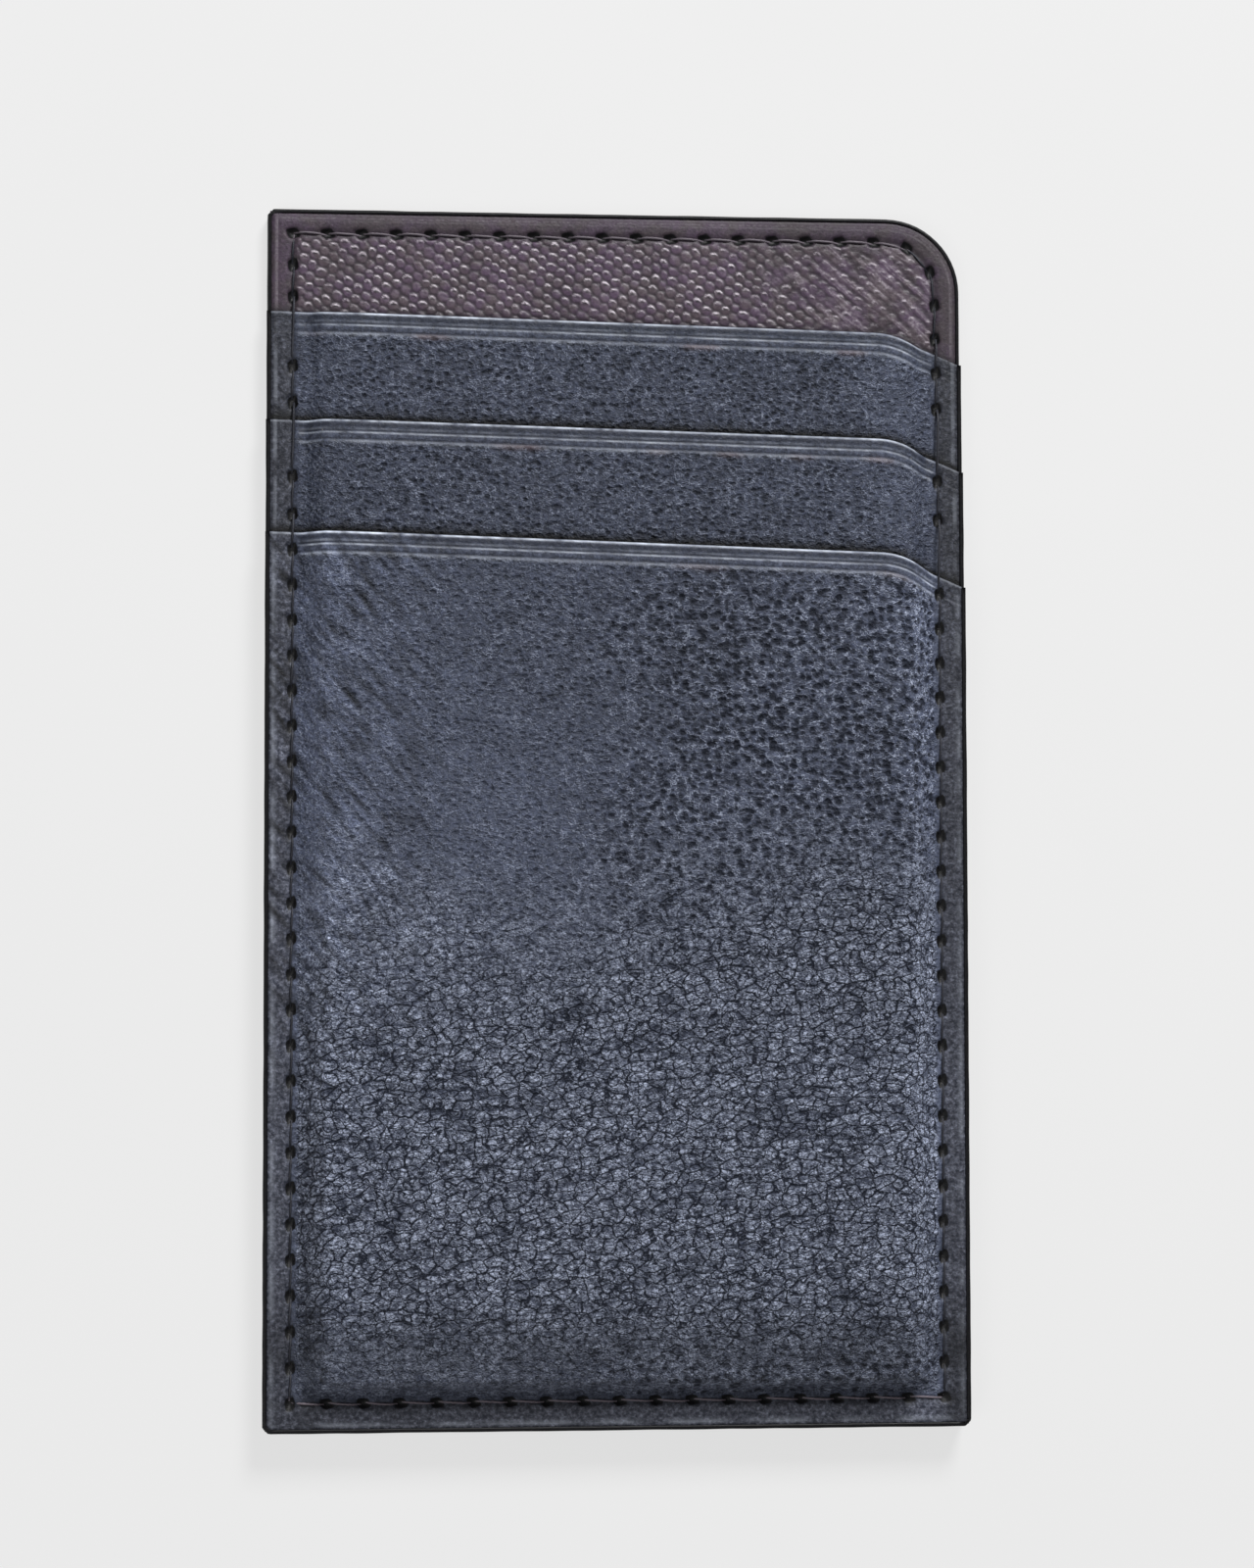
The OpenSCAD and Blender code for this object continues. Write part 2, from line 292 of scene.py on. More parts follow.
def pits(x, y):
    """1 in the middle of each stitch hole and 0 away from them."""
    found = np.zeros(x.shape)
    for hole, after, _ in needle:
        along = (after - hole) / np.linalg.norm(after - hole)
        dx, dy = x - hole[0], y - hole[1]
        near = np.abs(dx) + np.abs(dy) < HOLE_REACH
        u = dx[near] * along[0] + dy[near] * along[1]
        v = dy[near] * along[0] - dx[near] * along[1]
        u, v = u + 0.5 * v, v - 0.2 * u
        oval = np.exp(-((u / HOLE_LONG) ** 4 + (v / HOLE_WIDE) ** 4))
        found[near] = np.maximum(found[near], oval)
    return found


print("holes", len(needle), "of", 2 * HOLE_LONG, "by", 2 * HOLE_WIDE, "mm")

# %% [markdown]
# ## Meshes in millimetres
# Every new mesh is made the same way: from its points, its faces and which faces are smooth.
# Numbers painted on the points, such as how deep a stitch hole is, travel with the mesh as
# attributes, and the materials read them by name.

# %% Mesh helpers
def add_mesh(name, points, faces, smooth_faces):
    """Adds an object to the scene. Its points are given in millimetres."""
    mesh = bpy.data.meshes.new(name)
    mesh.from_pydata((points * MM).tolist(), [], faces)
    mesh.polygons.foreach_set("use_smooth", smooth_faces)
    obj = bpy.data.objects.new(name, mesh)
    bpy.context.scene.collection.objects.link(obj)
    print(name, len(points), "points", len(faces), "faces")
    return obj


def paint_points(obj, label, values):
    """Keeps one number for each point of the mesh."""
    layer = obj.data.attributes.new(label, "FLOAT", "POINT")
    layer.data.foreach_set("value", values.astype(np.float32))


def steps(low, high, size):
    """Evenly spaced values from low to high, at most size apart."""
    return np.linspace(low, high, int(math.ceil((high - low) / size)) + 1)


print("five steps", steps(0, 1, 0.25))

# %% [markdown]
# ## Make a panel from a grid
# A panel is a closed shell: a fine grid on the side that shows, a coarser one behind, and a wall
# round the edge that joins them. The coarse side keeps the mesh light.

# %% Panel shell
def shell(name, face, rear, masks, every=4, flip=False):
    """face and rear are (rows, columns, 3) arrays; rows run down and columns run right."""
    rows, cols = face.shape[:2]
    keep_r = sorted({*range(0, rows, every), rows - 1})
    keep_c = sorted({*range(0, cols, every), cols - 1})
    fine = np.arange(rows * cols).reshape(rows, cols)
    coarse = rows * cols + np.arange(len(keep_r) * len(keep_c)).reshape(len(keep_r), -1)
    points = np.concatenate([face.reshape(-1, 3), rear[np.ix_(keep_r, keep_c)].reshape(-1, 3)])

    def quads(ids):
        q = np.stack([ids[:-1, :-1], ids[1:, :-1], ids[1:, 1:], ids[:-1, 1:]], -1)
        return q.reshape(-1, 4)

    faces = quads(fine).tolist() + quads(coarse)[:, ::-1].tolist()
    fine_count = (rows - 1) * (cols - 1)
    for n, (c0, c1) in enumerate(zip(keep_c, keep_c[1:])):
        faces.append([*fine[0, c0 : c1 + 1], coarse[0, n + 1], coarse[0, n]])
        faces.append([*fine[-1, c0 : c1 + 1][::-1], coarse[-1, n], coarse[-1, n + 1]])
    for n, (r0, r1) in enumerate(zip(keep_r, keep_r[1:])):
        faces.append([*fine[r0 : r1 + 1, 0][::-1], coarse[n, 0], coarse[n + 1, 0]])
        faces.append([*fine[r0 : r1 + 1, -1], coarse[n + 1, -1], coarse[n, -1]])
    if flip:
        faces = [f[::-1] for f in faces]
    smooth_faces = np.arange(len(faces)) < fine_count + len(quads(coarse))
    obj = add_mesh(name, points, [[int(i) for i in f] for f in faces], smooth_faces)
    behind = np.zeros(len(points) - rows * cols)
    for label, values in masks.items():
        paint_points(obj, label, np.concatenate([values.reshape(-1), behind]))
    return obj


print("a shell's rear keeps every fourth row and column unless it is told otherwise")

# %% [markdown]
# ## Back panel
# The back is one flat piece of smooth navy leather. The seam runs in a groove there, so that the
# lower thread is below the surface and doesn't rub. Its top right corner is rounded. A square
# grid is bent to that corner with the map that turns a square into a quarter disc, which keeps
# every row and column smooth.

# %% Back leather
def round_corner(x, y, high, radius):
    """Moves the points of the square at the top right corner into its quarter disc."""
    u, v = (x - high[0] + radius) / radius, (y - high[1] + radius) / radius
    inside = (u > 0) & (v > 0)
    u, v = np.where(inside, u, 0), np.where(inside, v, 0)
    bent_x = high[0] - radius + radius * u * np.sqrt(1 - v * v / 2)
    bent_y = high[1] - radius + radius * v * np.sqrt(1 - u * u / 2)
    return np.where(inside, bent_x, x), np.where(inside, bent_y, y)


CORNER_R = 7.0
BACK_GRID = 0.3
BACK_GROOVE = 0.42
BACK_HOLE_DEPTH = 0.3
leather_r = CORNER_R - coat_t


def edge_drop(d):
    """The pressed edge: it rolls off at the paint and has a fine crease just inside."""
    return -0.14 * bell(d, 0.28) - 0.05 * bell(d - 0.75, 0.13)


def back_leather():
    xs = steps(back_low[0], back_high[0], BACK_GRID)
    ys = steps(back_low[1], back_high[1], BACK_GRID)[::-1]
    x, y = round_corner(*np.meshgrid(xs, ys), back_high, leather_r)
    seam = seam_distance(x, y)
    edge = -rounded_box(x, y, back_low, back_high, leather_r)
    pit = pits(x, y)
    z = BACK_GROOVE * np.exp(-((seam / 0.3) ** 4)) + BACK_HOLE_DEPTH * pit - edge_drop(edge)
    z += 0.012 * (1 + noise(x, y, 6, 3)) * smooth(-seam)
    upper = np.full(x.shape, back_high[2])
    masks = {"pit": pit, "pressed": smooth(seam / 0.5 + 0.5), "tone": np.ones(x.shape)}
    return shell("back_leather", np.dstack([x, y, z]), np.dstack([x, y, upper]), masks, flip=True)


back = back_leather()
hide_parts("back_panel")
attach(back, "root")

# %% [markdown]
# ## Facing
# Behind the first slot lies a plum leather with an embossed pattern of small staggered scales.
# Each scale is a low dome. Rows of domes, every second row moved by half a scale, are made from
# the fractional part of scaled coordinates, and the rows are turned to run across the strip at a
# slant. Each dome gets a painted highlight at its upper rim and a line of painted shade just
# under it, and a table of chances makes some of them brighter than others.

# %% Embossed scales
SCALE_W = 1.02
SCALE_H = 0.86
SCALE_TURN = math.radians(-38.0)


def scales(x, y):
    """How high the embossed scales stand, from 0 to 1, and a value that is above 0 where a
    painted highlight lies on their upper rims and below 0 in the line of painted shade just under
    them."""
    wobble = 0.24 * noise(x, y, 2.0, 11), 0.2 * noise(x, y, 2.0, 12)
    c, s = math.cos(SCALE_TURN), math.sin(SCALE_TURN)
    u = (x * c + y * s + wobble[0]) / SCALE_W
    v = (y * c - x * s + wobble[1]) / SCALE_H
    row = np.floor(v)
    u = u + 0.5 * (row % 2)
    du, dv = u - np.floor(u) - 0.5, v - row - 0.5
    swell = 1 + 0.25 * noise(x, y, 3.1, 13)
    right, up = du * c - dv * s, du * s + dv * c
    far = np.hypot(du, dv)
    dome = np.sqrt(np.clip(1 - far * far * 4.2 / swell, 0, 1))
    chance = np.clip(np.random.default_rng(18).uniform(-0.1, 1.15, (TABLE, TABLE)), 0, 1)
    own = chance[np.floor(u).astype(int) % TABLE, row.astype(int) % TABLE] * bell(right, 0.32)
    # glint is a painted highlight on the upper rim, and under is a line of painted shade just
    # inside it.
    glint = bell(far - 0.38, 0.08) * smooth(up * 5 - 0.3) * own
    under = bell(far - 0.2, 0.11) * smooth(up * 5 + 0.2) * own
    return dome, 1.65 * glint - 0.85 * under


print("scales of", SCALE_W, "by", SCALE_H, "mm")

# %% [markdown]
# ## Build the facing
# The pattern stops at the seam, where the leather was pressed flat, and it fades towards the
# rounded corner into slanting streaks. Only the strip above the first mouth shows, so only that
# strip has a fine grid.

# %% Facing leather
FACING_GRID = 0.135
FACING_ROW = 0.13
FACING_HIDDEN = 3.0
SCALE_TALL = 0.065


def facing_leather():
    xs = steps(facing_low[0], facing_high[0], FACING_GRID)
    shown = mouth_y(0, half_w) - 1.0
    rows = np.concatenate([steps(shown, facing_high[1], FACING_ROW)[::-1],
                           steps(facing_low[1], shown, FACING_HIDDEN)[::-1][1:]])
    x, y = round_corner(*np.meshgrid(xs, rows), facing_high, leather_r)
    seam = seam_distance(x, y)
    edge = -rounded_box(x, y, facing_low, facing_high, leather_r)
    inside = smooth((-seam - 0.25) / 0.35)
    visible = smooth((y - shown) / 0.5)
    pit = pits(x, y) * visible
    dome, glint = scales(x, y)
    streak = noise((0.77 * x - 0.64 * y) * 0.14, 0.64 * x + 0.77 * y, 0.5, 17)
    above = y - mouth_y(0, x)
    flat = smooth((x + 0.5 * y - 34 + 4 * noise(x, y, 3, 19)) / 14) * 0.7
    relief = SCALE_TALL * (dome - 0.55) * (1 - flat) + 0.03 * noise(x, y, 0.5, 5)
    z = seat + inside * visible * relief
    z += inside * visible * flat * 0.05 * streak
    z += -0.13 * bell(seam, 0.3) * visible - HOLE_DEPTH * pit + edge_drop(edge)
    z += 0.012 * noise(x, y, 1.1, 15) * (1 - inside)
    lower = np.full(x.shape, facing_low[2])
    dome = dome * (1 - flat) + smooth(0.6 + streak) * flat
    glint = glint * (1 - 0.6 * flat) + 0.4 * flat * bell(streak - 0.45, 0.15)
    # These masks paint light and shade: a painted highlight on the upper rims, the streaks and
    # the rolled edge, painted shade in the gaps, under the rims and in the seam groove, and the
    # painted shadow of the first slot's lip.
    masks = {"pit": pit, "pressed": 1 - inside, "dome": dome * inside,
             "glint": np.clip(glint, 0, 2) * inside + 0.2 * bell(edge - 0.62, 0.1),
             "low": np.clip(-glint, 0, 1) * inside,
             "groove": 0.6 * bell(seam, 0.25),
             "tone": 1 + 0.14 * noise(x, y, 7, 14) - 0.1 * smooth((x - 8) / 10),
             "shade": np.where(above < 3, bell(np.maximum(above, 0), 0.5), 0)}
    return shell("facing_leather", np.dstack([x, y, z]), np.dstack([x, y, lower]), masks, 8)


facing = facing_leather()
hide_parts("facing_panel")
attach(facing, "root")

# %% [markdown]
# ## Slot panels
# Each slot panel lies flat along the seam and rises over the room for a card, as leather does
# when it is moulded. The rise is a steep soft step with a slow swell on top, so it can be one
# formula of the distance to where the step starts. The numbers are in millimetres from the
# middle: where the step starts, where its wall ends and where the swell ends.

# %% Rise over the card
FOOT_X = [28.5, 28.95, 29.55]
FLAT_X = [27.1, 26.8, 26.6]
SWELL_X = [22.5, 23.0, 23.0]
WALL_SHARE = [0.62, 0.8, 0.82]
FOOT_RUN = 1.7
FOOT_STEEPER = 1.75
FOOT_BLEND = 2.5


def soft_min(a, b, blend):
    """The smaller of a and b, rounded where they cross."""
    h = np.clip(0.5 + 0.5 * (b - a) / blend, 0, 1)
    return b + (a - b) * h - blend * h * (1 - h)


def rise(k, x, y, inset, swollen=True):
    """From 0 at the seam to 1 over the card area: a steep wall, then a slow swell on top of
    it. inset moves the step inwards."""
    up_from_foot = (y - pocket_foot[k] + FOOT_RUN - inset) * FOOT_STEEPER
    d = soft_min(FOOT_X[k] - inset - np.abs(x), up_from_foot, FOOT_BLEND)
    wall = smooth(np.clip(d / (FOOT_X[k] - FLAT_X[k]), 0, 1) ** 0.85)
    if not swollen:
        return wall
    share = WALL_SHARE[k]
    return share * wall + (1 - share) * smooth(d / (FOOT_X[k] - SWELL_X[k]))


print("rise at the middle of each panel", [float(rise(k, 0.0, 0.0, 0.0)) for k in range(3)])

# %% [markdown]
# ## The lip and the rows below it
# At the mouth the leather is turned over, which makes a rounded lip, and two heat-pressed
# creases run along it. The rows of the grid follow the mouth, so the lip stays crisp all the way
# through the dip. Rows are close together at the lip and far apart where the next panel hides
# them.

# %% Lip and grid
LIP_R = [0.26, 0.26, 0.3]
LIP_ROWS = [0.0, 0.02, 0.06, 0.12, 0.2, 0.3, 0.42, 0.56, 0.7, 0.82, 0.9, 1.0, 1.1, 1.2, 1.35,
            1.5, 1.62, 1.72, 1.82, 1.92, 2.02, 2.12, 2.25, 2.4, 2.6]
LIP_END = LIP_ROWS[-1]
CREASES = [1.02, 1.8]
LIP_TOP = 0.5
LOW_RIDGE = 2.05
HIDDEN_STEP = 2.5


def lip(k, v):
    """The rolled edge at the mouth, its two creases and the ridges beside them."""
    r = LIP_R[k]
    roll = np.sqrt(np.maximum(r * r - np.maximum(r - v, 0) ** 2, 0)) - r
    creases = -0.09 * bell(v - CREASES[0], 0.1) - 0.06 * bell(v - CREASES[1], 0.1)
    return roll + (creases + 0.05 * bell(v - LOW_RIDGE, 0.13)) + 0.03 * bell(v - LIP_TOP, 0.3)


def panel_grid(k, fine_depth, grid):
    """x, y and the distance below the mouth for every point of panel k."""
    xs = steps(-side[k], side[k], grid)
    depth = mouth_y(k, 0.0) - foot
    fine = steps(LIP_END, min(fine_depth, depth), grid)[1:]
    rows = [*LIP_ROWS, *fine]
    if fine_depth < depth:
        rows += list(steps(rows[-1], depth, HIDDEN_STEP)[1:])
    v = np.repeat(np.array(rows)[:, None], len(xs), 1)
    x = np.repeat(xs[None, :], len(rows), 0)
    top = mouth_y(k, x)
    y = top - v * (top - foot) / depth
    return x, y, v


def outer_edge(k, x, y):
    """Distance to the nearer of the panel's side and foot."""
    return np.minimum(side[k] - np.abs(x), y - foot)


print("rows at a lip", len(LIP_ROWS))

# %% [markdown]
# ## Where each grain is
# Skin isn't even. On the slot panels it is tight and fine. On the front panel it has pores on
# the right, opens into pebbles towards the lower half, and is drawn into fine folds at the upper
# left. A set of painted masks says where each kind of grain is.

# %% Masks for the grain
def grain_masks(k, x, y, v):
    """Where the leather has pebbles and pores, and where it is pressed smooth."""
    seam = seam_distance(x, y)
    inside = smooth((-seam - 0.2) / 0.6)
    drift = 6 * noise(x, y, 14, 21)
    pebble = smooth((2 + 0.2 * x - y + drift) / 22) * (1 - 0.6 * smooth((-44 - y) / 7))
    pore = smooth((x + 16 + drift) / 24) * smooth((30 - y + drift) / 12) * (1 - pebble)
    if k < FRONT:
        pebble, pore = 0 * x, 0.55 * smooth((x + 34) / 14) * (1 - 0.7 * smooth((x - 21) / 6))
    lip_band = 1 - smooth((v - 1.9) / 0.35)
    pressed = np.maximum(1 - inside, 0.9 * lip_band)
    return {"pebble": pebble * (1 - pressed), "pore": pore * (1 - pressed), "pressed": pressed}


def folds(x, y):
    """Where the leather is drawn into fine folds: beside the seam at the upper left."""
    return smooth((-10 - x) / 16) * smooth((28 - y) / 5) * smooth((y + 34) / 24)


def fold_lines(x, y):
    """The folds themselves: noise that is stretched along a diagonal."""
    return noise((0.64 * x - 0.77 * y) * 0.2, 0.77 * x + 0.64 * y, 0.6, 56)


print("folds at the left", round(float(folds(-26.0, 10.0)), 2))

# %% [markdown]
# ## Grain in the mesh
# The larger grain is real geometry: pebbles with valleys between them, long wrinkles
# across, wells where the pores are, and slow swells. The finer grain comes from the material,
# which also paints shade into the valleys and wells and a highlight onto the tops.

# %% Height of the grain
def grain_height(k, x, y, masks):
    """Pebbles, pores, wrinkles and slow swells of the leather, in millimetres. It also adds
    the masks for the tops, which get a painted highlight, and for the valleys and the wells,
    which get painted shade, to the others."""
    wx, wy = x + 0.4 * noise(x, y, 1.6, 31), y + 0.3 * noise(x, y, 1.6, 32)
    first, second = cells(wx * 0.74, wy * 1.15, 1.0, 33)
    cell = 0.55 * smooth((second - first) / 0.45) + 0.45 * smooth(1.15 - first)
    across = noise(x * 0.2 + 3, y + 1.3 * noise(x, y, 7, 34), 1.5, 35)
    wrinkle = bell(across, 0.14) * (0.5 + 0.5 * noise(x, y, 6, 39))
    spacing = 0.72 if k < FRONT else 1.02
    inner, _ = cells(wx, wy, spacing, 40)
    well = smooth((0.42 - inner) / 0.22) * smooth(0.75 + 0.6 * noise(x, y, 1.3, 41))
    fine = noise(x, y, 0.55, 36) * 0.5 + noise(x, y, 1.1, 37) * 0.5
    masks["tops"] = masks["pebble"] * np.clip(cell - 0.7 * wrinkle, 0, 1)
    masks["valley"] = masks["pebble"] * np.clip(1 - cell + 0.8 * wrinkle, 0, 1)
    masks["well"] = masks["pore"] * well
    height = masks["pebble"] * (0.16 * (cell - 1) - 0.08 * wrinkle)
    height -= 0.13 * masks["well"] * (0.6 if k < FRONT else 1)
    height += (1 - masks["pressed"]) * (0.02 * fine + 0.05 * noise(x, y, 9, 38))
    if k == FRONT:
        height += (1 - masks["pressed"]) * 0.09 * folds(x, y) * fold_lines(x, y)
    return height


print("height of the grain ready for", len(PANELS), "panels")

# %% [markdown]
# ## Tone, wear and painted light
# Slow noise adds the drift that dye has over a hide, and the leather is darker in the margins. On
# the front, a painted highlight lies along the raised slopes and the crests of the folds, a broad
# painted sheen over the lower half, and painted shade at the foot. The creases, the painted
# highlight on the lip and the painted shadow under the next mouth follow their own lines.

# %% Tone, wear and painted light masks
def tone_map(k, x, y):
    """Slow changes of colour, with painted highlight and painted shade among them: 1 is the plain
    leather colour.
    """
    tone = 1 + 0.07 * noise(x, y, 12, 41) + 0.06 * noise(x, y, 5, 42)
    tone -= 0.12 * smooth((-x - 30) / 0.6) + 0.38 * smooth((x - 30) / 0.6)
    if k < FRONT:
        tone += 0.25 * bell(x - 26.5, 4)
    if k == FRONT:
        # A broad painted sheen over the lower half of the front.
        tone += 0.1 + 0.3 * smooth((15 - y) / 30) + 0.25 * bell(y + 30, 14)
        # Painted shade at the foot, where the front curls down to the seam.
        tone -= 0.58 * smooth((-43 - y) / 6)
        tone += 0.14 * smooth((x - 8) / 10) * smooth((y + 5) / 15)
        tone += 0.35 * bell(y + 52, 1.4) + 0.25 * smooth((-53.8 - y) / 0.4)
        # Painted highlight on the crests of the folds and painted shade in their troughs.
        tone += folds(x, y) * (0.06 + 1.1 * fold_lines(x, y))
        # Painted highlight along the raised slopes at both sides, and painted shade on the lower
        # left slope.
        tone += 0.72 * bell(x - 28.3, 1.5) + 0.5 * bell(x + 28.2, 1.7) * smooth((y + 22) / 20)
        tone -= 0.25 * bell(x + 28.4, 1.2) * smooth((-12 - y) / 20)
        tone += 0.3 * bell(np.hypot(x - 26.5, y - 18), 3.2)
        tone += 0.12 * bell(x + 24.5, 2.6)
    return tone * (1 - 0.1 * (1 - smooth(-seam_distance(x, y) / 0.5)))


def rubbed_lines(k, x, v, crease):
    """Painted highlights along the lip and along the ridges by its creases."""
    highlight_strength = 1.35 - (0.7 if k == 0 else 0.35) * smooth((x + 10) / 30)
    lines = highlight_strength * bell(v - 0.13, 0.085) * (0.35 + 0.65 * crease)
    lines += crease * (0.45 * bell(v - 0.86, 0.05) + 0.6 * bell(v - 1.2, 0.06))
    return lines + crease * 0.32 * bell(v - LOW_RIDGE, 0.14)


def wear_and_light_masks(k, x, y, v, crease):
    """Masks for the margin, rust, the painted highlight on the lip and ridges, the painted shade
    in the creases and the seam groove, and the painted shadow under the next mouth.
    """
    seam, edge = seam_distance(x, y), outer_edge(k, x, y)
    # A painted highlight along the rolled edge.
    bevel = 0.4 * bell(edge - 0.6, 0.11) * smooth(0.6 + noise(x, y, 2.5, 53))
    uneven = 0.6 + 0.5 * noise(x, y, 3, 51) + 0.35 * noise(x, y, 0.7, 54)
    # Painted shade in the two creases and in the band under the lip's highlight.
    gap = bell(v - 1.03, 0.08) + 0.85 * bell(v - LIP_TOP, 0.22) + 0.7 * bell(v - 1.78, 0.09)
    rust = bell(v - LOW_RIDGE, 0.25) * smooth(noise(x, y, 5, 52) * 1.6 - 0.1) * crease
    shade = 0 * x
    # A painted shadow that the next panel's lip casts on this one.
    if k < FRONT:
        above = y - mouth_y(k + 1, x)
        reach = 0.75 + 0.25 * noise(x, y, 0.8, 55)
        shade = np.where(above > -0.3, bell(np.maximum(above, 0), reach), 0)
    return {"margin": smooth(seam / 0.3 + 0.5),
            "rubbed": rubbed_lines(k, x, v, crease) * uneven + bevel,
            "groove": np.maximum(gap * (0.3 + 0.7 * crease), 0.5 * bell(seam, 0.22)),
            "rust": rust, "shade": shade}


print("front tone at the middle", round(float(tone_map(FRONT, 0.0, 0.0)), 2))

# %% [markdown]
# ## Build the slot panels
# A panel is the sum of its parts: rim, rise, lip, seam groove, stitch holes and grain. Its rear
# is a plain step over the room for the card, and the leather between them never gets thinner
# than LEATHER_MIN. The two slot panels need a fine grid only where they show. The front panel
# shows all over, so it gets a slightly coarser one.

# %% Slot panels
LEATHER_MIN = 0.08
REAR_INSET = 0.55
SLOT_GRID = 0.17
SLOT_SHOWN = 13.0
FRONT_GRID = 0.25
WHOLE = 200.0


def slot_leather(k, name, fine_depth, grid):
    x, y, v = panel_grid(k, fine_depth, grid)
    masks = grain_masks(k, x, y, v)
    seam, edge, pit = seam_distance(x, y), outer_edge(k, x, y), pits(x, y)
    crease = smooth(-seam)
    top_rim = rim[k] + thick[k]
    up = rise(k, x, y, 0.0)
    z = top_rim + (crown[k] - top_rim) * up
    z += np.where(v < LIP_END, lip(k, v) * (0.35 + 0.65 * crease), 0)
    z += -0.1 * bell(seam, 0.26) - HOLE_DEPTH * pit + edge_drop(edge)
    z += grain_height(k, x, y, masks) * (0.3 + 0.7 * smooth((up - 0.5) * 2))
    under = rim[k] + (roof[k] - rim[k]) * rise(k, x, y, REAR_INSET, swollen=False)
    z = np.maximum(z, under + LEATHER_MIN)
    masks |= {"pit": pit, "tone": tone_map(k, x, y)} | wear_and_light_masks(k, x, y, v, crease)
    return shell(name, np.dstack([x, y, z]), np.dstack([x, y, under]), masks, 6)


slot_1 = slot_leather(0, "slot_1_leather", SLOT_SHOWN, SLOT_GRID)
slot_2 = slot_leather(1, "slot_2_leather", SLOT_SHOWN, SLOT_GRID)
front = slot_leather(FRONT, "front_leather", WHOLE, FRONT_GRID)
for obj, node in ((slot_1, "slot_1_panel"), (slot_2, "slot_2_panel"), (front, "front_panel")):
    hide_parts(node)
    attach(obj, "root")

# %% [markdown]
# ## Painted edges
# Raw leather edges are sealed with several coats of thick black paint, which dries into a
# domed bead. A bead is a profile swept along the outline. Each layer has its own outline, a
# hair wider than the one behind it, so each gets its own bead, and the steps between them stay
# visible at the side. First come the outlines: points about 0.6 mm apart, with the corners cut.

# %% Outlines of the edges
CORNER_CUT = 0.4
PATH_STEP = 0.6


def resample(points):
    """Points evenly along a line of straight stretches, with its corners kept."""
    lengths = np.concatenate([[0], np.cumsum(np.linalg.norm(np.diff(points, axis=0), axis=1))])
    at = np.unique(np.concatenate([lengths, steps(0, lengths[-1], PATH_STEP)]))
    return np.stack([np.interp(at, lengths, points[:, c]) for c in (0, 1)], 1)


def foot_corners(x, y):
    """The two cut corners at the foot, from left to right."""
    cut = CORNER_CUT
    return [(-x, -y + cut), (-x + cut, -y), (x - cut, -y), (x, -y + cut)]


def open_path(x, y, top_left, top_right):
    """Down the left side, along the foot and up the right side."""
    return resample(np.array([(-x, top_left), *foot_corners(x, y), (x, top_right)]))


def back_path():
    """All round the back and the facing, with the rounded corner at the top right."""
    x, y, r, cut = facing_high[0], facing_high[1], leather_r, CORNER_CUT
    quarter = np.linspace(0, math.pi / 2, 15)
    arc = [(x - r + r * math.cos(a), y - r + r * math.sin(a)) for a in quarter]
    start = (-x, y - cut)
    return resample(np.array([start, *foot_corners(x, y), *arc, (-x + cut, y), start]))[:-1]


print("points round the back", len(back_path()))

# %% [markdown]
# ## Sweep the beads
# The profile is a squarish dome, a superellipse, with a short lap over the leather on both
# sides. It stands square to the outline at each point, and slow noise varies how thick the
# paint is.

# %% Edge beads
BEAD_LAP = 0.16
BEAD_ROUND = 2.4
BEAD_POINTS = 13
BEAD_START = 0.02
BEAD_OVER = 0.03
BEAD_SEED = 61


def bead_profile():
    """How far out and how far up each point of the profile is; up runs from -1 to 1."""
    turn = np.linspace(-math.pi / 2, math.pi / 2, BEAD_POINTS)
    push = np.abs(np.cos(turn)) ** (2 / BEAD_ROUND)
    lift = np.sign(np.sin(turn)) * np.abs(np.sin(turn)) ** (2 / BEAD_ROUND)
    push = np.concatenate([[-BEAD_LAP], push * coat_t, [-BEAD_LAP]])
    return push, np.concatenate([[-1.0], lift, [1.0]])


def outwards(path, closed):
    """The direction away from the leather, which lies at the left hand of the path."""
    after = np.roll(path, -1, 0) - path if closed else np.gradient(path, axis=0)
    before = path - np.roll(path, 1, 0) if closed else after
    way = after / np.linalg.norm(after, axis=1)[:, None]
    way = way + before / np.linalg.norm(before, axis=1)[:, None]
    way /= np.linalg.norm(way, axis=1)[:, None]
    return np.stack([way[:, 1], -way[:, 0]], 1)


def bead(name, path, closed, low, high, seed):
    """A domed bead from low to high whose flat side lies on the leather's edge."""
    push, lift = bead_profile()
    wave = 1 + 0.1 * noise(path[:, 0], path[:, 1], 3, seed)
    lap = np.where(push > 0, wave[:, None], 1.0)
    flat = path[:, None, :] + outwards(path, closed)[:, None, :] * (push * lap)[..., None]
    z = np.broadcast_to((low + high) / 2 + (high - low) / 2 * lift, flat.shape[:2])
    points = np.dstack([flat, z]).reshape(-1, 3)
    n, m = len(path), len(push)
    faces = []
    for i in range(n if closed else n - 1):
        for j in range(m - 1):
            a, b = i * m + j, ((i + 1) % n) * m + j
            faces.append([a, b, b + 1, a + 1])
        faces.append([i * m + m - 1, ((i + 1) % n) * m + m - 1, ((i + 1) % n) * m, i * m])
    if not closed:
        faces += [list(range(m))[::-1], [(n - 1) * m + j for j in range(m)]]
    return add_mesh(name, points, faces, [len(f) == 4 for f in faces])


beads = [bead("edge_paint_back", back_path(), True, coat_low[2] + BEAD_START, seat + BEAD_OVER,
              BEAD_SEED)]
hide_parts("edge_coat_back")
for k, node in enumerate(COATS):
    path = open_path(side[k], -foot, mouth_y(k, -side[k]), mouth_y(k, side[k]))
    made = bead(node.replace("coat", "paint"), path, False, rim[k] + BEAD_START,
                rim[k] + thick[k] + BEAD_OVER, BEAD_SEED + 1 + k)
    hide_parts(node)
    beads.append(made)
for obj in beads:
    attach(obj, "root")

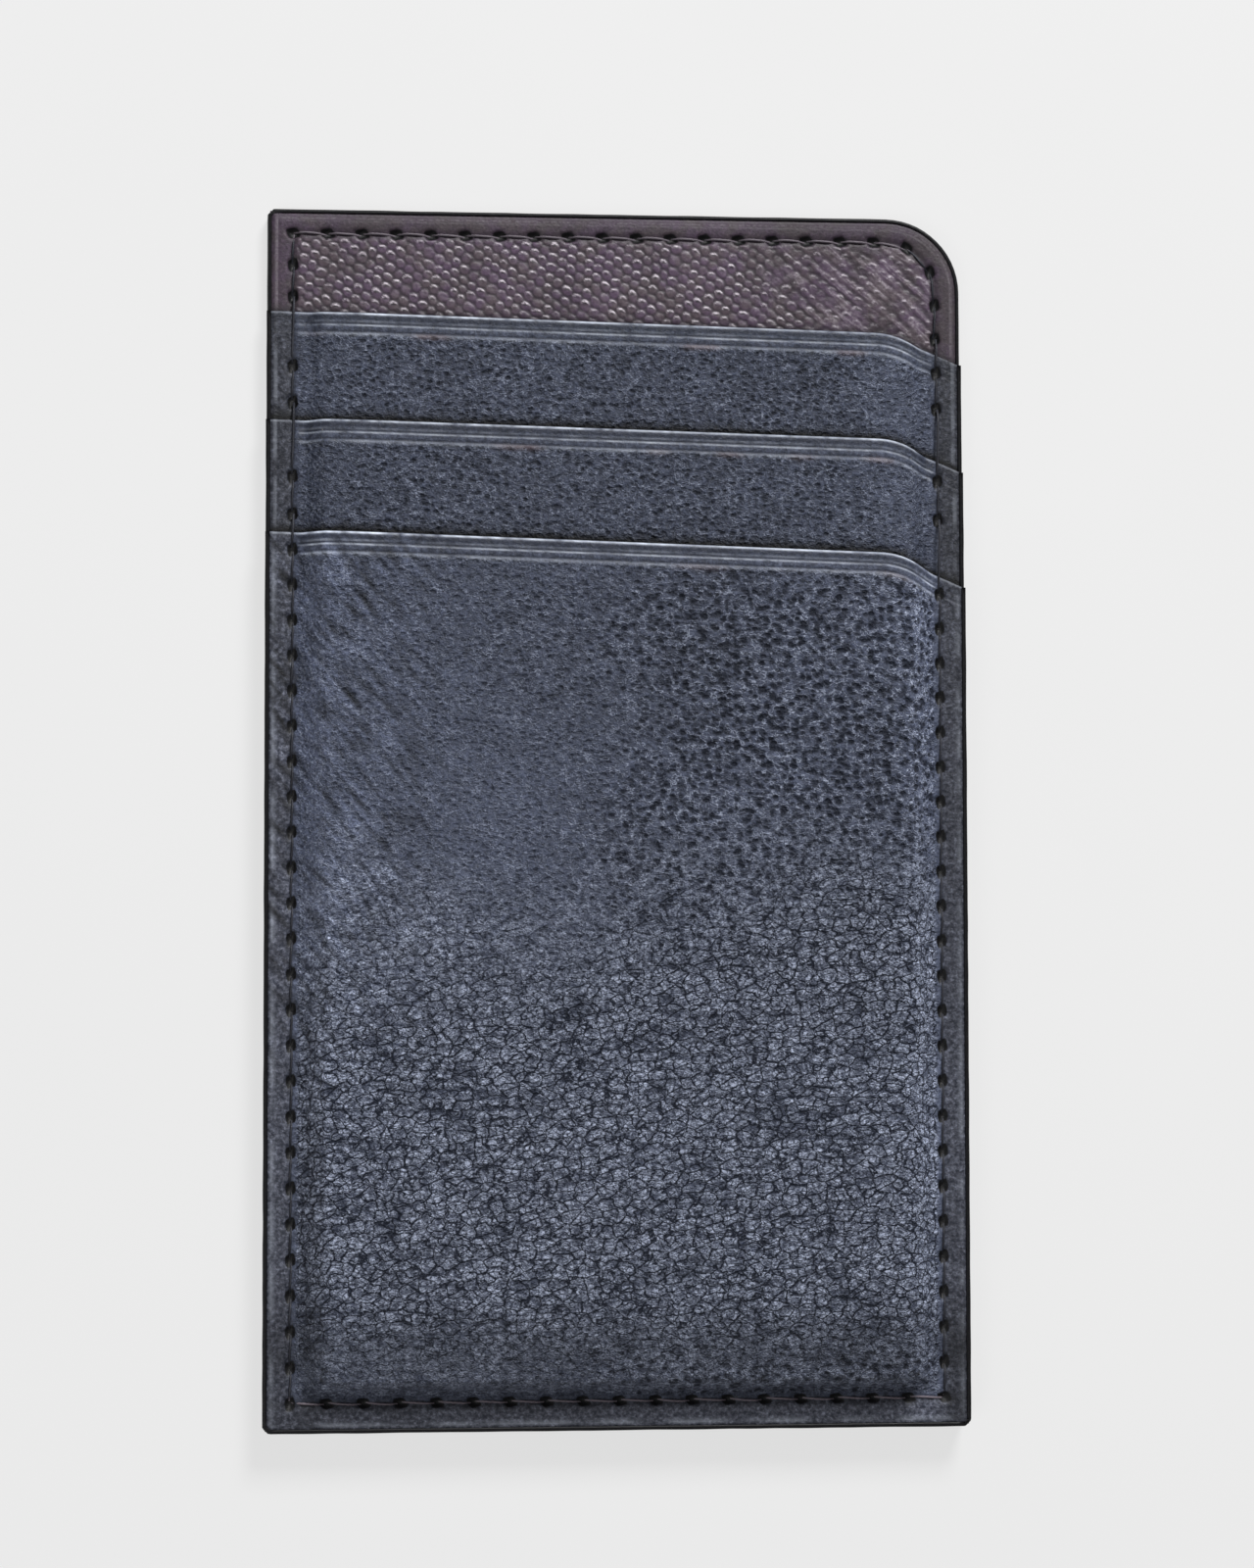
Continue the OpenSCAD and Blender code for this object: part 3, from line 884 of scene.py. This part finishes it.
# %% [markdown]
# ## Thread
# A lockstitch has an upper thread and a lower thread that meet inside the leather. Each stitch
# comes out of one hole, lies in the groove and goes down the next. It is a tube swept along
# that path. Its section is a little lobed and turns as it goes, which makes the plies of a
# twisted thread.

# %% Stitches
THREAD_R = 0.1
PLIES = 3
TWIST = 2 * math.pi / 1.4
DIVE_RUN = 0.62
DIVE_DEPTH = 0.65


def end_runs(y):
    """1 on the stitches of the top and bottom runs, which get a painted highlight."""
    return np.maximum(0.8 * smooth((y - seam_high[1] + 0.8) / 0.4),
                      smooth((seam_low[1] + 0.6 - y) / 0.2))


def thread(name, stitches, up):
    """All stitches of one thread as one mesh; up is 1 for the upper thread, -1 for the lower."""
    points, faces = [], []
    around, along = 9, 15
    angle = np.arange(around) * 2 * math.pi / around
    rng = np.random.default_rng(71)
    for hole, after, level in stitches:
        way = after - hole
        length = np.linalg.norm(way)
        way = way / length
        across = np.array([-way[1], way[0]])
        t = np.linspace(0, 1, along)
        s = t * length
        dive = bell(s, DIVE_RUN) + bell(length - s, DIVE_RUN)
        lean = 0.1 * (1 - 2 * t) + 0.05 * rng.uniform(-1, 1) * np.sin(math.pi * t)
        height = level + up * (0.04 * np.sin(math.pi * t) - DIVE_DEPTH * dive)
        centre = hole + way * s[:, None] + across * lean[:, None]
        lobe = THREAD_R * (1 + 0.16 * np.cos(PLIES * (angle[None, :] - TWIST * s[:, None])))
        ring = centre[:, None, :] + across * (lobe * np.cos(angle))[..., None]
        z = height[:, None] + lobe * np.sin(angle)
        base = len(points) * along * around
        points.append(np.dstack([ring, z]).reshape(-1, 3))
        for i in range(along - 1):
            for j in range(around):
                a, b = base + i * around + j, base + i * around + (j + 1) % around
                faces.append([a, a + around, b + around, b])
        faces.append([base + j for j in range(around)])
        faces.append([base + (along - 1) * around + j for j in range(around)][::-1])
    points = np.concatenate(points)
    obj = add_mesh(name, points, faces, [len(f) == 4 for f in faces])
    # A painted highlight on the top and bottom runs.
    paint_points(obj, "pale", end_runs(points[:, 1]))
    return obj


upper_thread = thread("upper_stitches", needle, 1)
lower_thread = thread("lower_stitches", bobbin, -1)
for obj, node in ((upper_thread, "needle_thread"), (lower_thread, "bobbin_thread")):
    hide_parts(node)
    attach(obj, "root")

# %% [markdown]
# ## Linings and mouth tapes
# A thin twill is glued behind each slot panel, so that cards slide easily, and a tape behind
# each mouth stops it from stretching. Only their edges can be seen, from the side or along a
# slot, and the frame's own shapes are right for that. So they stay as they are, and only get
# a woven finish further down.

def cut_size(node):
    low, high = box_mm(node)
    return (float(high[0] - low[0]) * MM, float(high[1] - low[1]) * MM)


def cut_area(obj):
    """Half the surface of a thin solid is the area of the cloth it was cut from."""
    return sum(p.area for p in obj.data.polygons) / 2


for lining, panel in zip(LININGS, PANELS):
    width, length = cut_size(lining)
    area = min(cut_area(nodes[lining]), width * length)
    print(lining, "cut", round(width / MM, 1), "by", round(length / MM, 1), "mm")

# %% [markdown]
# ## A small kit for materials
# Blender's shader nodes do sums one node at a time, which is slow to wire by hand. The class
# below wraps one output socket, so that an ordinary expression such as 1 - mask * 0.5 builds
# the Math nodes by itself.

# %% Sockets that do sums
class Value:
    """One output socket of a material, with arithmetic."""

    def __init__(self, finish, socket):
        self.finish, self.socket = finish, socket

    def sum(self, operation, *inputs):
        return self.finish.node("Math", {"operation": operation}, inputs)

    def __add__(self, other):
        return self.sum("ADD", self, other)

    def __sub__(self, other):
        return self.sum("SUBTRACT", self, other)

    def __rsub__(self, other):
        return self.sum("SUBTRACT", other, self)

    def __mul__(self, other):
        return self.sum("MULTIPLY", self, other)

    def __truediv__(self, other):
        return self.sum("DIVIDE", self, other)

    def ridge(self, width):
        """1 where the value crosses its middle, which draws thin curly lines on noise."""
        return (1 - self.sum("ABSOLUTE", self - 0.5) / width).clamp()

    def clamp(self):
        return self.finish.node("Clamp", {}, (self,))

    def above(self, edge, width):
        """0 below the edge and 1 above it, with a soft step between."""
        return ((self - (edge - width / 2)) / width).clamp()

    __radd__ = __add__
    __rmul__ = __mul__


print("operators on a socket", [n for n in vars(Value) if n.startswith("__r")])

# %% [markdown]
# ## One class for a finish
# The other class holds one material. Its method node makes any node from a type, settings and
# inputs, and the methods after it are short names for what every finish here needs: a place in
# millimetres, a painted mask, noise, cells and mixed colours.

# %% Finishes
class Finish:
    """One material, made from its nodes."""

    def __init__(self, name):
        self.material = bpy.data.materials.new(name)
        self.material.use_nodes = True
        self.tree = self.material.node_tree
        self.surface = self.tree.nodes["Principled BSDF"]

    def node(self, kind, settings=None, inputs=(), output=0):
        """Makes a node, puts its settings in, then its inputs by place or by name."""
        made = self.tree.nodes.new("ShaderNode" + kind)
        for key, value in (settings or {}).items():
            setattr(made, key, value)
        pairs = inputs.items() if isinstance(inputs, dict) else enumerate(inputs)
        for place, value in pairs:
            self.feed(made.inputs[place], value)
        return Value(self, made.outputs[output])

    def feed(self, socket, value):
        if isinstance(value, Value):
            self.tree.links.new(value.socket, socket)
        else:
            socket.default_value = value

    def place(self, scale=(1, 1, 1)):
        """The point on the object in millimetres, stretched by scale."""
        at = self.node("TexCoord", output="Object")
        sizes = tuple(s / MM for s in scale)
        return self.node("VectorMath", {"operation": "MULTIPLY"}, (at, sizes))

    def painted(self, label):
        """A mask that was painted on the mesh's points."""
        return self.node("Attribute", {"attribute_name": label}, output="Fac")

    def noise(self, place, size, detail=2.0, rough=0.5, spread=1.0):
        """Noise round 0.5. A spread above 1 pushes it further towards 0 and 1."""
        values = {"Vector": place, "Scale": 1 / size, "Detail": detail, "Roughness": rough}
        made = self.node("TexNoise", inputs=values)
        return made if spread == 1 else ((made - 0.5) * spread + 0.5).clamp()

    def cell(self, place, size, feature="F1"):
        values = {"Vector": place, "Scale": 1 / size}
        return self.node("TexVoronoi", {"feature": feature}, values)

    def tint(self, amount, low, high):
        """A colour mixed from low to high by amount."""
        made = self.node("Mix", {"data_type": "RGBA"}, output=2)
        ins = made.socket.node.inputs
        self.feed(ins[0], amount)
        for socket, shade in ((ins[6], low), (ins[7], high)):
            self.feed(socket, shade if isinstance(shade, Value) else (*shade, 1))
        return made

    def scaled(self, shade, amount):
        """A colour times a number that varies over the surface."""
        return self.node("VectorMath", {"operation": "SCALE"}, {0: shade, "Scale": amount})

    def finished(self, colour, roughness, height, depth_mm, **plain):
        """Feeds the surface. Plain values are set on the shader's own sockets."""
        values = {"Height": height, "Distance": depth_mm * MM, "Strength": 1.0}
        bump = self.node("Bump", inputs=values)
        for name, value in (("Base Color", colour), ("Roughness", roughness), ("Normal", bump)):
            self.feed(self.surface.inputs[name], value)
        for name, value in plain.items():
            self.surface.inputs[name.replace("_", " ")].default_value = value
        print("finish", self.material.name, len(self.tree.nodes), "nodes")
        return self.material


print("finish methods", [n for n in vars(Finish) if not n.startswith("_")])

# %% [markdown]
# ## Navy leather
# The slot panels are a blue-grey calf with a soft satin surface. Its colour isn't flat: painted
# shade darkens the pores and the creases between pebbles, a painted highlight lightens the tops
# of the grain, and the colour drifts slowly over the hide. Along a mouth the leather was
# heat-creased; a thin painted highlight, almost white, runs along the lip and the ridges, with
# painted shade in the creases. Fine pores come from cells in the bump, because they are too
# small for the mesh, and a net of fine cracks over the pebbles, darkened with painted shade, is
# the edges of cells that noise has bent.

# %% Navy leather
NAVY = (0.078, 0.092, 0.142)
NAVY_LIGHT = (0.36, 0.40, 0.52)
NAVY_DARK = (0.008, 0.011, 0.022)
# The colour of the painted highlight along the lips and ridges.
PAINTED_HIGHLIGHT = (0.72, 0.78, 0.90)
MARGIN = (0.080, 0.083, 0.108)
RUST = (0.12, 0.055, 0.05)
BLACK = (0.003, 0.003, 0.004)
# Where the painted shade in a stitch hole starts, and how softly it steps in.
HOLE_DARK = (0.3, 0.2)


def navy_leather():
    f = Finish("navy_leather_finish")
    at, wide = f.place(), f.place((0.7, 1.1, 1))
    pressed, tops, well = (f.painted(m) for m in ("pressed", "tops", "well"))
    valley, pore = f.painted("valley"), f.painted("pore")
    open_grain = 1 - pressed
    curl = f.noise(wide, 0.6, 2.0, 0.6).ridge(0.045)
    speck = f.noise(at, 0.24, 2.0, 0.6, 3.0)
    fine = f.noise(at, 0.42, 3.0, 0.65, 2.6)
    mottle = f.noise(at, 2.4, 2.0, 0.5, 2.0)
    dots = (1 - f.cell(wide, 0.55).above(0.34, 0.24)) * open_grain * (1 - tops)
    margin = f.painted("margin")
    grit = f.noise(at, 0.15, 1.0, 0.5, 3.0)
    gain = (0.46 + 0.66 * fine + 0.24 * mottle - 0.14 * pressed) * (0.8 + 0.4 * grit)
    colour = f.scaled(f.tint(margin, NAVY, MARGIN), gain)
    # light holds the leather's own curly lines and a painted highlight on the pebble tops.
    light = curl * (0.4 + 0.5 * pore + 0.45 * tops) * (1 - well) + tops * speck * 1.6
    light = light * open_grain * (0.65 + 0.7 * grit)
    light = light + pressed * speck * fine * (0.14 + 0.2 * margin)
    colour = f.tint((light * (0.6 + 0.7 * mottle)).clamp(), colour, NAVY_LIGHT)
    # dark is partly the leather's own mottle and partly painted shade in the pores, wells and
    # valleys.
    dark = dots * (0.3 + 0.4 * pore) + well * 0.9 + valley * 0.45
    dark = dark + open_grain * (1 - speck) * 0.35 * (1 - curl)
    dark = dark + pressed * (1 - fine) * (0.4 + 0.5 * margin)
    bent = f.node("VectorMath", {"operation": "ADD"}, (wide, f.noise(at, 1.2)))
    crackle = 1 - f.cell(bent, 0.42, "DISTANCE_TO_EDGE").above(0.07, 0.12)
    net = 1 - f.cell(bent, 1.0, "DISTANCE_TO_EDGE").above(0.045, 0.07)
    # Painted shade in the fine cracks over the pebbles.
    dark = dark + tops * crackle * 0.75 + f.painted("pebble") * net * 0.65
    colour = f.tint(dark.clamp(), colour, NAVY_DARK)
    # Rust is the leather's own colour; the rest is painted shade in the groove and creases, a
    # painted highlight on the lip and ridges, and a painted shadow under the next mouth.
    for mask, amount, shade in (("rust", 0.5, RUST), ("groove", 0.8, NAVY_DARK),
                                ("rubbed", 0.9, PAINTED_HIGHLIGHT), ("shade", 1.15, BLACK)):
        colour = f.tint((f.painted(mask) * amount).clamp(), colour, shade)
    colour = f.scaled(colour, f.painted("tone"))
    # Painted shade in the stitch holes.
    colour = f.tint(f.painted("pit").above(*HOLE_DARK), colour, BLACK)
    height = curl * 0.4 + fine * 0.5 + speck * 0.3 - dots * 0.6 - well * 0.5
    height = height - f.painted("pebble") * (net * 0.8 + crackle * 0.4)
    rough = 0.44 + 0.2 * fine - 0.06 * pressed + 0.2 * dark
    return f.finished(colour, rough, height * (open_grain * 0.85 + 0.15), 0.2,
                      Specular_IOR_Level=0.42)


navy = navy_leather()
for obj in (back, slot_1, slot_2, front):
    obj.data.materials.append(navy)

# %% [markdown]
# ## Plum leather
# The scales are already in the mesh. The finish paints a highlight on the upper rim of some,
# paints shade on the line under it and in the gaps, and lets the colour wander between brown and
# purple.

# %% Plum leather
PLUM = (0.113, 0.073, 0.122)
PLUM_BROWN = (0.105, 0.077, 0.094)
PLUM_LIGHT = (0.58, 0.52, 0.58)
PLUM_DARK = (0.016, 0.011, 0.017)


def plum_leather():
    f = Finish("plum_leather_finish")
    at = f.place()
    dome, pressed = f.painted("dome"), f.painted("pressed")
    wander, fine = f.noise(at, 2.0, 2.0), f.noise(at, 0.3, 3.0, 0.6)
    speck = f.noise(at, 0.25, 2.0, 0.6, 2.5)
    colour = f.tint(wander.above(0.5, 0.2), PLUM, PLUM_BROWN)
    colour = f.scaled(colour, 0.5 + fine * 0.85 - pressed * 0.27)
    # Painted shade in the gaps between the scales, and a dark speckle on the pressed margin.
    gap = (1 - dome.above(0.4, 0.6)) * (1 - pressed) * 0.7 + pressed * speck * 0.6
    # Painted shade just under the upper rims.
    gap = gap + f.painted("low") * 1.6
    colour = f.tint(gap.clamp(), colour, PLUM_DARK)
    # A painted highlight on the upper rims of the scales, the streaks and the rolled edge.
    shine = f.painted("glint") * (0.15 + speck * 1.7)
    colour = f.tint(shine.clamp(), colour, PLUM_LIGHT)
    # Painted shade in the seam groove and the painted shadow of the first slot's lip.
    for mask, amount in (("groove", 0.8), ("shade", 0.9)):
        colour = f.tint((f.painted(mask) * amount).clamp(), colour, PLUM_DARK)
    colour = f.scaled(colour, f.painted("tone"))
    # Painted shade in the stitch holes.
    colour = f.tint(f.painted("pit").above(*HOLE_DARK), colour, BLACK)
    rough = 0.36 + 0.2 * fine + 0.1 * pressed
    return f.finished(colour, rough, fine, 0.05, Specular_IOR_Level=0.5)


facing.data.materials.append(plum_leather())

# %% [markdown]
# ## Edge paint and thread
# Edge paint is black with a slightly uneven skin, and here and there a speck of the reddish
# ground under it shows. The thread is waxed, so its plies catch a soft light. On the top and
# bottom runs a painted mask mixes in a lighter colour, a painted highlight.

# %% Edge paint and thread
PAINT_COLOURS = (0.003, 0.003, 0.004), (0.01, 0.01, 0.012)
PAINT_RED = (0.1, 0.02, 0.03)
THREAD_COLOURS = (0.012, 0.013, 0.02), (0.04, 0.042, 0.056)
THREAD_PALE = (0.2, 0.17, 0.2)


def edge_paint():
    f = Finish("edge_paint_finish")
    at = f.place()
    lumps, dust = f.noise(at, 1.6), f.noise(at, 0.4, 3.0)
    red = f.noise(at, 5.0).above(0.72, 0.04)
    colour = f.tint((red * 0.5).clamp(), f.tint(dust, *PAINT_COLOURS), PAINT_RED)
    return f.finished(colour, 0.35 + 0.25 * dust, lumps, 0.06, Specular_IOR_Level=0.25)


def waxed_thread():
    f = Finish("waxed_thread_finish")
    fibres = f.noise(f.place((3, 3, 3)), 0.3, 3.0, 0.6)
    wander = f.noise(f.place(), 2.0, spread=2.0)
    # A painted highlight on the top and bottom runs.
    colour = f.tint(f.painted("pale"), f.tint(wander, *THREAD_COLOURS), THREAD_PALE)
    colour = f.scaled(colour, 0.6 + fibres * 0.8)
    return f.finished(colour, 0.42 + 0.25 * fibres, fibres, 0.04, Specular_IOR_Level=0.5)


paint, waxed = edge_paint(), waxed_thread()
for obj in beads:
    obj.data.materials.append(paint)
for obj in (upper_thread, lower_thread):
    obj.data.materials.append(waxed)

# %% [markdown]
# ## Board and cloth
# Bonded board is pressed from leather fibres, which show as flecks: noise that is stretched
# along the board. The cloths are woven: two waves at right angles, one moved against the other,
# make the weave, and noise makes the uneven yarns.

# %% Board and cloth
BOARD_COLOURS = (0.2, 0.13, 0.075), (0.55, 0.42, 0.28)
TWILL_COLOURS = (0.012, 0.013, 0.018), (0.05, 0.053, 0.066)
TAPE_COLOURS = (0.18, 0.18, 0.18), (0.42, 0.42, 0.41)
WAVE_LENGTH = 0.314


def bonded_board():
    f = Finish("bonded_board_finish")
    flecks, cloud = f.noise(f.place((1, 3, 3)), 0.8, 4.0, 0.7), f.noise(f.place(), 3.0)
    colour = f.scaled(f.tint(flecks, *BOARD_COLOURS), 0.8 + cloud * 0.4)
    return f.finished(colour, 0.75 + 0.2 * flecks, flecks, 0.05, Specular_IOR_Level=0.3)


def woven(name, colours, pitch):
    """A weave whose yarns repeat every pitch millimetres. A wave node's own length at a scale
    of 1 is WAVE_LENGTH."""
    f = Finish(name)
    at = f.place()
    across, along = (f.node("TexWave", {"wave_type": "BANDS", "bands_direction": way},
                            {"Vector": at, "Scale": WAVE_LENGTH / pitch}) for way in "XY")
    weave = across * (1 - along) + along * (1 - across)
    slubs = f.noise(at, 1.4, 3.0)
    colour = f.scaled(f.tint(weave, *colours), 0.75 + slubs * 0.5)
    return f.finished(colour, 0.7 + 0.2 * slubs, weave, 0.04, Specular_IOR_Level=0.25)


def dress(names, material):
    """Gives a finish to nodes whose shape stays as it is in the frame."""
    for name in names:
        nodes[name].data.materials.clear()
        nodes[name].data.materials.append(material)


dress(LININGS, woven("lining_twill_finish", TWILL_COLOURS, 0.4))
dress([n.replace("lining", "mouth_tape") for n in LININGS],
      woven("mouth_tape_finish", TAPE_COLOURS, 0.6))
dress(["core_board"], bonded_board())
dress(["slot_1_base_seam", "slot_2_base_seam"], waxed)

# %% [markdown]
# ## Floor
# The holder lies on a plain pale sheet in flat, even light, so that hardly a shadow shows. The
# sheet glows a little by itself, which keeps it evenly pale. It lies a hair below the holder's
# back, so that the two faces don't flicker through each other.

# %% Pale sheet
SHEET_HALF = 1500.0
SHEET_GAP = 0.02
SHEET_GLOW = 0.68
SHEET_COLOURS = (0.17, 0.17, 0.17), (0.19, 0.19, 0.19)


def floor():
    corners = np.array([(-1, -1, 0), (1, -1, 0), (1, 1, 0), (-1, 1, 0)]) * SHEET_HALF
    obj = add_mesh("floor", corners, [(0, 1, 2, 3)], [False])
    obj.location.z = cad_bounds[0][2] - SHEET_GAP * MM
    f = Finish("pale_sheet")
    grey = f.noise(f.place(), 40.0)
    f.surface.inputs["Emission Color"].default_value = (1, 1, 1, 1)
    f.surface.inputs["Emission Strength"].default_value = SHEET_GLOW
    obj.data.materials.append(f.finished(f.tint(grey, *SHEET_COLOURS), 0.9, grey, 0.001))
    return obj


floor()

# %% [markdown]
# ## Lamps and room
# One large soft lamp beyond the top edge gives the grain its glints. A weaker one from the lower
# left softens its shadows, and the pale world fills in everything else. Both lamps face the
# middle of the holder, so their axes come from two cross products.

# %% Lamps and room
ROOM_GLOW = 0.12


def lamp(name, place, size, power):
    """A square lamp at place, in metres, that faces the origin."""
    light = bpy.data.lights.new(name, "AREA")
    light.shape, light.size, light.energy = "SQUARE", size, power
    obj = bpy.data.objects.new(name, light)
    bpy.context.scene.collection.objects.link(obj)
    back_way = Vector(place).normalized()
    side_way = Vector((0, 0, 1)).cross(back_way).normalized()
    turn = Matrix((side_way, back_way.cross(side_way), back_way)).transposed()
    obj.matrix_world = Matrix.Translation(place) @ turn.to_4x4()
    return obj


lamp("window_lamp", (0.22, 0.62, 0.52), 0.25, 6.5)
lamp("fill_lamp", (-0.5, -0.4, 0.8), 0.5, 2.0)
world = bpy.data.worlds.new("pale_room")
bpy.context.scene.world = world
world.use_nodes = True
sky = world.node_tree.nodes["Background"].inputs
sky["Color"].default_value = (1, 1, 1, 1)
sky["Strength"].default_value = ROOM_GLOW
bpy.context.scene.view_settings.view_transform = "Standard"

# %% [markdown]
# ## Camera
# The camera looks almost straight down, tilted by a few degrees, from about 36 centimetres. Its
# turn is given as three small angles in degrees, and its place as where the holder's centre
# lies, seen from the camera. The matrix of the camera is the inverse of that turn and move.

# %% Camera
LENS_MM = 90.0
SENSOR_MM = 36.0
TURNS = (-3.354, 5.374, -0.206)
CENTRE_MM = (-1.069, -3.031, -363.93)


def camera():
    turn = Matrix.Identity(3)
    for angle, axis in zip(TURNS, "XYZ"):
        turn = Matrix.Rotation(math.radians(angle), 3, axis) @ turn
    place = turn.transposed()
    data = bpy.data.cameras.new("camera")
    data.lens, data.sensor_fit = LENS_MM, "VERTICAL"
    data.sensor_height = data.sensor_width = SENSOR_MM
    data.clip_start = 0.01
    obj = bpy.data.objects.new("camera", data)
    bpy.context.scene.collection.objects.link(obj)
    at = place @ -Vector(CENTRE_MM)
    obj.matrix_world = Matrix.Translation(at * MM) @ place.to_4x4()
    bpy.context.scene.camera = obj


camera()
print("camera at", [round(c, 4) for c in bpy.context.scene.camera.matrix_world.translation])

# %% [markdown]
# ## Sizes
# The CAD box is printed at the start. The finished model may stand a little proud of it where
# the leather is soft.
